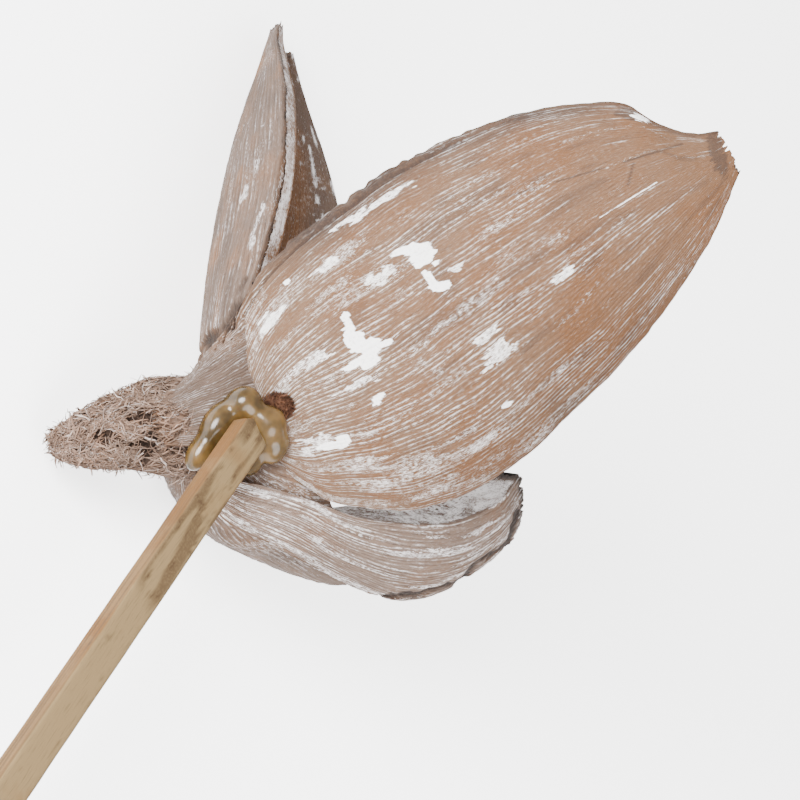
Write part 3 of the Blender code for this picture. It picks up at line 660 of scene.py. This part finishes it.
def cup_skin():
    """A sphere's skin about the pole, as deep as the lobe lets it, and back inside it, one wall thinner."""
    rows, around = 130, 220
    side = LOBE_TOWARDS - LOBE_TOWARDS @ CUP_POLE * CUP_POLE
    side /= np.linalg.norm(side)
    other = np.cross(CUP_POLE, side)
    out = np.concatenate([np.linspace(0.004, 1, rows), np.linspace(1, 0.004, 30)])
    deep = np.concatenate([np.zeros(rows), np.ones(30)])
    turn = np.arange(around) / around * 2 * math.pi
    out, turn = np.meshgrid(out, turn, indexing="ij")
    deep = deep[:, None] * np.ones(around)
    lobed = np.exp(-(np.minimum(turn, 2 * math.pi - turn) / 0.75) ** 2)
    angle = out * np.radians(64 + 60 * lobed)
    past = np.clip((angle - math.radians(80)) / math.radians(40), 0, 1.1)
    part = turn / (2 * math.pi)
    across = part * 96 + 0.8 * cloud(91, 5 * out, 12 * part, 12) + 0.3 * cloud(92, 14 * out, 48 * part, 48)
    rib = np.floor(across)
    crest = np.sin(math.pi * (across - rib)) ** 1.4 * (0.6 + 0.4 * cloud(93, 7 * out, 3.7 * (rib % 96)))
    fine = cloud(94, 40 * out, part * 320, 320)
    relief = (0.3 * crest + 0.1 * fine) * ease(0.02, 0.25, out) + 0.4 * cloud(95, 6 * out, part * 14, 14)
    wall = CUP_WALL * np.clip(2.2 * (1 - out), 0.3, 1)
    radius = CUP_RADIUS * (1 + 0.4 * lobed * past ** 2) + relief * (1 - deep) - wall * deep
    spoke = (np.cos(angle)[..., None] * CUP_POLE
             + np.sin(angle)[..., None] * (np.cos(turn)[..., None] * side + np.sin(turn)[..., None] * other))
    points = CUP_CENTRE + radius[..., None] * spoke
    kept = (0.5 + 0.14 * cloud(97, 6 * out, part * 20, 20)) * (1 - deep)
    paint = 0.35 * ease(-0.2, 0.8, cloud(96, 6 * out, part * 20, 20))
    dirt_and_shade = 0.3 * deep + 0.25 * ease(0.2, 0.8, cloud(98, 9 * out, part * 30, 30))
    coat = np.clip(np.stack([paint * (1 - deep), dirt_and_shade, 0.25 + 0.4 * deep, kept], axis=-1), 0, 1)
    fibre = np.stack([out * 40, across + 8 * deep], axis=-1)
    fibre = np.concatenate([fibre, fibre[:, :1] + (0, 96)], axis=1)
    ends = [list(range(around))[::-1], [(rows + 29) * around + j for j in range(around)]]
    return husk_mesh("base_cup", points, coat, fibre, ends)


base_cup = cup_skin()
base_cup.data.materials.append(grey_husk)
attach(base_cup, "root")
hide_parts("pod")


# The neck. The husk's ribs fan out from the stalk over the unsplit base and pass under the front valve's
# shoulders; this skin of husk is what shows between them.
NECK = {
    "left": [(-1, -11.0, -3, -0.3), (-0.5, -13, 0, 0.3), (0, -13.5, 2.6, 0.1), (0.5, -11.5, 5.6, -2.4),
             (1, -6.5, 9.5, -9.0)],
    "right": [(-1, 4.5, -2, -7), (-0.5, 5.5, 5, -6.8), (0, 4.6, 11.5, -8), (0.5, 4.6, 18.5, -10.5),
              (1, 4, 26.5, -13)],
    "wall": 0.9, "tip_wall": 0.3,
}


def neck_face(valve, u, v):
    """Straight lines from a left edge to a right edge, each edge a curve through stations, lifted a
    little."""
    def edge(stations):
        return np.stack([smooth_through([(s[0], s[k]) for s in stations], v) for k in (1, 2, 3)], axis=-1)

    left, right = edge(valve["left"]), edge(valve["right"])
    u = u[..., None]
    return left + (right - left) * u + np.array((0, 0, 1.5)) * 4 * u * (1 - u)


def neck_dress(u, v, deep, points):
    """The neck's relief and coat: ribs and low swellings, roughened where it meets the stalk, and the
    torn seam."""
    across, crest, fine = ribs(61, u, v, 44)
    outer = ease(0.6, 0.0, deep)
    edges = ease(1.0, 0.85, np.abs(v)) * ease(0.0, 0.06, u)
    relief = (0.26 * crest + 0.10 * fine) * outer * edges + 0.5 * cloud(62, 4 * u, 5 * v) * edges
    torn = 0.9 * cloud(63, 9 * u, 14 * v) * ease(0.3, 0.0, u) * outer
    kept = (0.50 + 0.10 * cloud(64, 5 * u, 6 * v) - 0.2 * ease(0.25, 0.0, u)) * outer
    paint = 0.3 * ease(-0.2, 0.8, cloud(65, 6 * u, 8 * v) + 0.3 * fine) * outer
    seam = torn_seam(points, u, v)
    relief = relief - 1.2 * seam * outer * edges
    kept = kept * (1 - seam)
    paint = paint * (1 - seam)
    dirt_and_shade = np.clip(0.9 * seam + 0.5 * ease(0.25, 0.0, u) * ease(0.1, 0.6, cloud(67, 12 * u, 20 * v)), 0, 1)
    warmth = 0.1 + 0.4 * ease(0.25, 0.0, u)
    return relief + torn, np.clip(np.stack([paint, dirt_and_shade, warmth, kept], axis=-1), 0, 1), across


neck_husk = valve_skin("neck_husk", neck_face, NECK, 120, 160, 4, neck_dress)
neck_husk.data.materials.append(grey_husk)
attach(neck_husk, "root")
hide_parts("pod")


# The torn stalk. Shredded pinkish fibre where the pod was pulled off its branch: a tapering core in deep
# folds and pits, matted with short strands that lie on it every way but mostly along it.
STALK = [(-2, 0, -17, 4, 4), (-5, 0.3, -13.5, 8, 9), (-8.5, 0.3, -10.8, 8.9, 10), (-14, 0.2, -7.5, 8.1, 8.4),
         (-18, -0.4, -5, 6.9, 7), (-22, -0.9, -3, 6, 5.8), (-26, -1.4, -1.6, 4.7, 4.5),
         (-29, -2.2, -0.8, 3.1, 3), (-30.6, -2.2, -0.4, 1.6, 1.6)]


def stalk_at(t, turn, grow=1.0):
    """Points on the stalk: rings through the stations at a share t along it, lumpy in waves round it."""
    where = np.linspace(0, 1, len(STALK))
    x, y, z, high, thick = (smooth_through([(w, s[k]) for w, s in zip(where, STALK)], t) for k in range(5))
    lumps = (1 + 0.08 * np.sin(5 * turn + 3 * t) + 0.06 * np.sin(3 * turn - 9 * t)) * grow
    return np.stack([x + 0.8 * np.sin(4 * turn) * t, y + high * lumps * np.cos(turn),
                     z + thick * lumps * np.sin(turn)], axis=-1)


def stalk_pits(t, part):
    """Where the stalk is pitted, 0 to 1, at a share t along it and a share part of the way round."""
    return ease(0.1, 0.4, cloud(114, 13 * t, part * 16, 16) + 0.35 * cloud(115, 40 * t, part * 50, 50))


def stalk_skin():
    """The stalk's core, swollen and cut by noise that is long along it, and pitted.
    Its pits and the sunk hollows of its folds are darkened with painted shade.
    """
    rows, around = 160, 200
    t, turn = np.meshgrid(np.linspace(0, 1, rows), np.arange(around) / around * 2 * math.pi, indexing="ij")
    part = turn / (2 * math.pi)
    folds = cloud(111, 9 * t, part * 26 + 1.2 * cloud(112, 5 * t, part * 8, 8), 26)
    fray = cloud(113, 44 * t, part * 60, 60)
    pits = stalk_pits(t, part)
    grow = 1 + (0.05 * folds + 0.03 * fray - 0.05 - 0.24 * pits) * ease(0.0, 0.15, t)
    points = stalk_at(t, turn, grow)
    # Painted shade: the pits and the sunk hollows of the folds are darkened, over the core's own darker tone.
    dirt_and_shade = 0.4 + 0.6 * pits + 0.4 * ease(0.1, -0.6, folds + 0.4 * fray)
    coat = np.clip(np.stack([0 * t, dirt_and_shade, 0.4 + 0.3 * fray, 0 * t], axis=-1), 0, 1)
    fibre = np.stack([t * 32, part * 60 + folds], axis=-1)
    fibre = np.concatenate([fibre, fibre[:, :1] + (0, 60)], axis=1)
    ends = [list(range(around))[::-1], [(rows - 1) * around + j for j in range(around)]]
    return husk_mesh("torn_stalk", points, coat, fibre, ends)


torn_stalk = stalk_skin()
torn_wood = husk_finish("torn_wood", (0.205, 0.136, 0.102), (0.18, 0.100, 0.062), (0.016, 0.009, 0.006),
                        (0.52, 0.45, 0.42), 0.0, 0.0, 0.8)
torn_stalk.data.materials.append(torn_wood)
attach(torn_stalk, "root")
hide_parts("pod")


def strands(name, foot, towards, stand, reach, width, hug, bend, seed, tints=(0.5, 0.75, 0.8)):
    """Loose strands as one mesh: four-sided tapering tubes of five rings along curved paths.

    Each starts at its foot, runs its reach towards its heading, curves down away from stand as a circle
    of radius hug does, is bent sideways by its bend, growing as the square of the way along, and thins at
    both ends.
    """
    rng = np.random.default_rng(seed)
    count = len(foot)
    s = np.linspace(0, 1, 5)[None, :, None]
    heading = towards / np.linalg.norm(towards, axis=1, keepdims=True)
    side = np.cross(heading, stand)
    side /= np.linalg.norm(side, axis=1, keepdims=True)
    run = s * reach[:, None, None]
    wave = rng.uniform(0.02, 0.10, (count, 1, 1)) * np.sin(s * rng.uniform(4, 9, (count, 1, 1)))
    path = (foot[:, None] + heading[:, None] * run - stand[:, None] * run ** 2 / (2 * hug)[:, None, None]
            + side[:, None] * (bend[:, None, None] * s ** 2 + wave) * reach[:, None, None])
    turn = (np.arange(4) / 4 * 2 * math.pi)[None, None, :, None]
    thick = width[:, None] * (0.25 + 0.75 * np.sin(math.pi * (0.08 + 0.84 * s[..., 0])) ** 0.7)
    thick = thick[..., None, None]
    ring = np.cos(turn) * side[:, None, None] + np.sin(turn) * 0.7 * stand[:, None, None]
    points = (path[:, :, None] + thick * ring).reshape(-1, 3)
    start = (np.arange(count) * 20)[:, None, None]
    i, j = np.arange(4)[None, :, None], np.arange(4)[None, None, :]
    k = (j + 1) % 4
    quads = np.stack(np.broadcast_arrays(start + i * 4 + j, start + i * 4 + k, start + (i + 1) * 4 + k,
                                         start + (i + 1) * 4 + j), axis=-1).reshape(-1, 4)
    caps = np.concatenate([start[:, 0] + np.arange(4)[::-1], start[:, 0] + 16 + np.arange(4)])
    a, b, c, d = (points[quads[:, n]] for n in range(4))
    middle = np.repeat(path.mean(axis=1), 16, axis=0)
    if np.einsum("ij,ij->i", (a + b + c + d) / 4 - middle, np.cross(c - a, d - b)).sum() < 0:
        quads, caps = quads[:, ::-1], caps[:, ::-1]
    lying = np.array(LYING)
    mesh = bpy.data.meshes.new(name)
    placed = points / 1000 @ lying[:3, :3].T + lying[:3, 3]
    placed[:, 2] = np.maximum(placed[:, 2], 0)
    mesh.from_pydata(placed.tolist(), [], quads.tolist() + caps.tolist())
    index = np.empty(len(mesh.loops), int)
    mesh.loops.foreach_get("vertex_index", index)
    fibre = np.stack([index % 20 // 4 * 0.8, index % 4 * 0.3 + index // 20 * 1.7], axis=-1)
    mesh.uv_layers.new(name="fibre").data.foreach_set("uv", fibre.ravel())
    tint = np.repeat(rng.uniform(0, 1, (count, 4)) ** 1.6 * (*tints, 0.0), 20, axis=0)
    mesh.attributes.new("coat", "FLOAT_COLOR", "POINT").data.foreach_set("color", tint.ravel())
    mesh.polygons.foreach_set("use_smooth", np.ones(len(mesh.polygons), bool))
    mesh.update()
    piece = bpy.data.objects.new(name, mesh)
    bpy.context.scene.collection.objects.link(piece)
    return piece


def matted(name, count, lift, seed):
    """Strands that lie aslant on the stalk, but not over its pits: two thirds head along it, a third
    back."""
    rng = np.random.default_rng(seed)
    t = rng.uniform(0.10, 1.0, count) ** 0.9
    turn = rng.uniform(0, 2 * math.pi, count)
    pits = stalk_pits(t, turn / (2 * math.pi))
    clear = pits < rng.random(count)
    t, turn, count = t[clear], turn[clear], int(clear.sum())
    foot = stalk_at(t, turn, 1.0)
    along = stalk_at(t + 0.01, turn) - stalk_at(t - 0.01, turn)
    around = stalk_at(t, turn + 0.05) - stalk_at(t, turn - 0.05)
    along /= np.linalg.norm(along, axis=1, keepdims=True)
    around /= np.linalg.norm(around, axis=1, keepdims=True)
    stand = np.cross(along, around)
    stand *= np.sign((stand * (foot - stalk_at(t, turn, 0.5))).sum(axis=1))[:, None]
    slant = rng.normal(0, 0.7, count) + math.pi * (rng.random(count) < 0.35)
    towards = (np.cos(slant)[:, None] * along + np.sin(slant)[:, None] * around
               + stand * rng.uniform(0.02, lift, count)[:, None])
    return strands(name, foot, towards, stand, rng.uniform(0.8, 3.8, count) * (1.3 - 0.6 * t),
                   0.06 + 0.17 * rng.random(count) ** 2, 9.0 - 5.5 * t, rng.normal(0, 0.35, count), seed + 1)


STRAND_COUNT = 3900
for name, lift, seed in (("torn_strands", 0.40, 5), ("matted_strands", 0.16, 8)):
    shag = matted(name, STRAND_COUNT, lift, seed)
    shag.data.materials.append(torn_wood)
    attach(shag, "root")
    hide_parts("pod")


# The hole's rim. The husk's own brown fibre, left ragged where the hole for the splint was made: a fringe of
# it stands in the hollow at the upper right of the glue.
FRINGE_COUNT = 420
HOLE_AT = np.array((8.2, 4.1, -5.6))
rng = np.random.default_rng(6)
turn = rng.uniform(0, 2 * math.pi, FRINGE_COUNT)
ring = np.stack([1.25 * np.cos(turn), np.sin(turn), 0 * turn], axis=-1)
foot = HOLE_AT + ring * rng.uniform(0.9, 2.2, FRINGE_COUNT)[:, None]
towards = ring * rng.uniform(-0.5, 0.6, FRINGE_COUNT)[:, None] + np.array((0.1, 0.1, 1.0))
towards = towards + rng.normal(0, 0.35, (FRINGE_COUNT, 3))
hole_fringe = strands("hole_fringe", foot, towards, np.cross(towards, ring) / 2 + ring * 0.2,
                      rng.uniform(0.9, 3.0, FRINGE_COUNT), 0.05 + 0.12 * rng.random(FRINGE_COUNT) ** 2,
                      np.full(FRINGE_COUNT, 4.0), rng.normal(0, 0.4, FRINGE_COUNT), 7, (0.3, 0.7, 1.0))
fringe_brown = husk_finish("fringe_brown", (0.13, 0.055, 0.030), (0.17, 0.070, 0.030), (0.012, 0.006, 0.004),
                           (0.34, 0.24, 0.18), 0.0, 0.0, 0.8)
hole_fringe.data.materials.append(fringe_brown)
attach(hole_fringe, "root")
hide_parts("pod")


# The splint. A flat bamboo pick, planed on its wide faces and left fibrous at its sides, that was pushed
# into a hole drilled beside the stalk.
STICK_AT = np.array((3.5, -0.4, -0.9))
STICK_TOWARDS = np.array((-0.425, -0.652, 0.627)) / np.linalg.norm((-0.425, -0.652, 0.627))
STICK_LENGTH = 310.0
STICK_SUNK = 5.0
level = np.array((0.0, 0.0, 1.0)) - STICK_TOWARDS * STICK_TOWARDS[2]
level /= np.linalg.norm(level)
STICK_ROLL = math.radians(-35)
STICK_FLAT = math.cos(STICK_ROLL) * level + math.sin(STICK_ROLL) * np.cross(STICK_TOWARDS, level)
STICK_WIDE = np.cross(STICK_FLAT, STICK_TOWARDS)


def splint_skin():
    """A rounded oblong carried along the splint: a circle pushed out to the sides of a box, in the power 9.

    Its last few millimetres, in the hole, are whittled to half the size.
    """
    rows, around = 300, 72
    s = np.linspace(0, 1, rows)[:, None]
    turn = (np.arange(around) / around * 2 * math.pi)[None, :]
    c, d = np.cos(turn), np.sin(turn)
    reach = (np.abs(c) ** 9 + np.abs(d) ** 9) ** (-1 / 9)
    part = turn / (2 * math.pi) + 0 * s
    s = s + 0 * turn
    along = -STICK_SUNK + s * (STICK_LENGTH + STICK_SUNK)
    share = np.clip(along / STICK_LENGTH, 0, 1)
    wide = ease(0.8, 0.98, np.abs(reach * d))
    nap = 0.05 * cloud(131, along / 6, part * 60, 60) * (1 - wide)
    nap = nap + 0.015 * cloud(132, along / 9, part * 48, 48)
    x = (6.7 + 0.9 * share) / 2 * reach * c * 0.992 + nap * c
    y = (3.9 + 0.3 * share) / 2 * reach * d * 0.985 + nap * d
    ends = np.minimum(along + STICK_SUNK, STICK_LENGTH - along)
    shrink = (1 - 0.06 * ease(0.6, 0.0, ends)) * (0.55 + 0.45 * ease(-1.2, -0.1, along))
    points = (STICK_AT + along[..., None] * STICK_TOWARDS + (x * shrink)[..., None] * STICK_WIDE
              + (y * shrink)[..., None] * STICK_FLAT)
    stained = ease(44, 38, along + 2.5 * cloud(133, along / 8, part * 9, 9))
    stain = cloud(134, along / 9, part * 16, 16) + 0.4 * cloud(137, along / 3, part * 48, 48)
    stain = stained * ease(-0.1, 0.4, stain) * 0.8
    pits = ease(0.82, 0.95, cloud(135, along / 3, part * 30, 30))
    scratch = stained * ease(0.6, 0.85, cloud(138, along / 1.1 + part * 26, part * 24, 24)) * 0.8
    veins = 0.6 * ease(0.1, 0.7, cloud(136, along / 25, part * 60, 60))
    dirt_and_shade = np.clip((stain + scratch) * wide + 0.5 * pits + veins * (1 - wide), 0, 1)
    coat = np.stack(np.broadcast_arrays(0 * s, dirt_and_shade, 1 - wide, 0 * s), axis=-1)
    fibre = np.empty((rows, around + 1, 2))
    fibre[..., 0] = along[:, :1]
    fibre[..., 1] = np.arange(around + 1) * 0.55
    caps = [list(range(around))[::-1], [(rows - 1) * around + j for j in range(around)]]
    return husk_mesh("bamboo_splint", points, coat, fibre, caps)


bamboo_splint = splint_skin()
bamboo_wood = husk_finish("bamboo_wood", (0.140, 0.093, 0.043), (0.094, 0.042, 0.0110), (0.04, 0.022, 0.009),
                          (0.21, 0.150, 0.082), 0.0, 0.0, 0.3)
bamboo_splint.data.materials.append(bamboo_wood)
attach(bamboo_splint, "root")
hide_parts("bamboo_stick")


# The glue. Amber hot glue squeezed up round the splint where it goes in, and set in shining round lobes:
# they run down beside its left edge, over its end and down its right, and two lie under it.
GLUE_LOBES = [  # middle, half length and half width in mm, and the way that the lobe runs
    ((-5.0, -3.6, -0.6), 4.4, 2.5, (0.5, 0.8, -0.3)), ((-2.2, 1.0, -1.6), 4.8, 3.0, (0.5, 0.8, -0.3)),
    ((2.2, 4.6, -2.6), 3.6, 3.2, (0.9, 0.4, 0.0)), ((6.6, 0.6, -3.6), 3.8, 3.4, (0.3, 0.9, 0.0)),
    ((7.6, -2.8, -4.6), 3.6, 2.7, (0.4, 0.9, 0.0)), ((5.4, 2.0, -2.8), 3.4, 2.6, (0.9, -0.4, 0.0)),
    ((3.4, -0.6, -6.0), 5.6, 5.0, (0.4, 0.6, -0.6)), ((0.4, -4.6, -5.0), 5.6, 3.4, (0.7, -0.3, -0.2)),
]


def glue_lump_mesh():
    """Egg shapes about the lobes' middles, joined by a fine voxel skin and smoothed where they meet."""
    rows, around = 28, 36
    lift = (np.linspace(-0.985, 0.985, rows)[:, None] * math.pi / 2) * np.ones(around)
    turn = (np.arange(around) / around * 2 * math.pi) * np.ones((rows, 1))
    joined = bpy.data.meshes.new("glue_lobes")
    lying = np.array(LYING)
    spots, faces = [], []
    i, j = np.meshgrid(np.arange(rows - 1), np.arange(around), indexing="ij")
    i, j = i.ravel(), j.ravel()
    k = (j + 1) % around
    quads = np.stack([i * around + j, i * around + k, (i + 1) * around + k, (i + 1) * around + j], axis=1)
    caps = [list(range(around))[::-1], [(rows - 1) * around + n for n in range(around)]]
    for number, (middle, length, width, way) in enumerate(GLUE_LOBES):
        way = np.array(way) / np.linalg.norm(way)
        side = np.cross(way, (0.0, 0.0, 1.0))
        side /= np.linalg.norm(side)
        other = np.cross(way, side)
        egg = (np.array(middle) + (length * np.sin(lift))[..., None] * way
               + (width * np.cos(lift) * np.cos(turn))[..., None] * side
               + (width * np.cos(lift) * np.sin(turn))[..., None] * other).reshape(-1, 3)
        spots.append(egg / 1000 @ lying[:3, :3].T + lying[:3, 3])
        faces += (quads + number * rows * around).tolist()
        faces += [[n + number * rows * around for n in cap] for cap in caps]
    joined.from_pydata(np.concatenate(spots).tolist(), [], faces)
    lobes = bpy.data.objects.new("glue_lobes", joined)
    bpy.context.scene.collection.objects.link(lobes)
    skin = lobes.modifiers.new("skin", "REMESH")
    skin.mode = "VOXEL"
    skin.voxel_size = 0.00028
    smooth = lobes.modifiers.new("smooth", "SMOOTH")
    smooth.factor = 0.6
    smooth.iterations = 60
    depsgraph = bpy.context.evaluated_depsgraph_get()
    made = bpy.data.meshes.new_from_object(lobes.evaluated_get(depsgraph))
    bpy.data.objects.remove(lobes, do_unlink=True)
    made.name = "glue_lump"
    made.polygons.foreach_set("use_smooth", np.ones(len(made.polygons), bool))
    piece = bpy.data.objects.new("glue_lump", made)
    bpy.context.scene.collection.objects.link(piece)
    return piece


glue_lump = glue_lump_mesh()
amber_glue = bpy.data.materials.new("amber_glue")
amber_glue.use_nodes = True
amber = amber_glue.node_tree.nodes["Principled BSDF"]
cloudy = amber_glue.node_tree.nodes.new("ShaderNodeTexNoise")
cloudy.inputs["Scale"].default_value = 260.0
place = amber_glue.node_tree.nodes.new("ShaderNodeTexCoord")
shade = amber_glue.node_tree.nodes.new("ShaderNodeValToRGB")
shade.color_ramp.elements[0].position = 0.35
shade.color_ramp.elements[0].color = (0.028, 0.016, 0.0045, 1)
shade.color_ramp.elements[1].position = 0.7
shade.color_ramp.elements[1].color = (0.098, 0.056, 0.018, 1)
amber_glue.node_tree.links.new(place.outputs["Object"], cloudy.inputs["Vector"])
amber_glue.node_tree.links.new(cloudy.outputs["Fac"], shade.inputs["Fac"])
amber_glue.node_tree.links.new(shade.outputs["Color"], amber.inputs["Base Color"])
amber.inputs["Roughness"].default_value = 0.2
amber.inputs["Specular IOR Level"].default_value = 0.35
amber.inputs["Subsurface Weight"].default_value = 0.25
amber.inputs["Subsurface Radius"].default_value = (0.003, 0.0016, 0.0006)
amber.inputs["Subsurface Scale"].default_value = 1.0
amber.inputs["IOR"].default_value = 1.5
glue_lump.data.materials.clear()
glue_lump.data.materials.append(amber_glue)
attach(glue_lump, "root")
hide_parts("glue_bead")
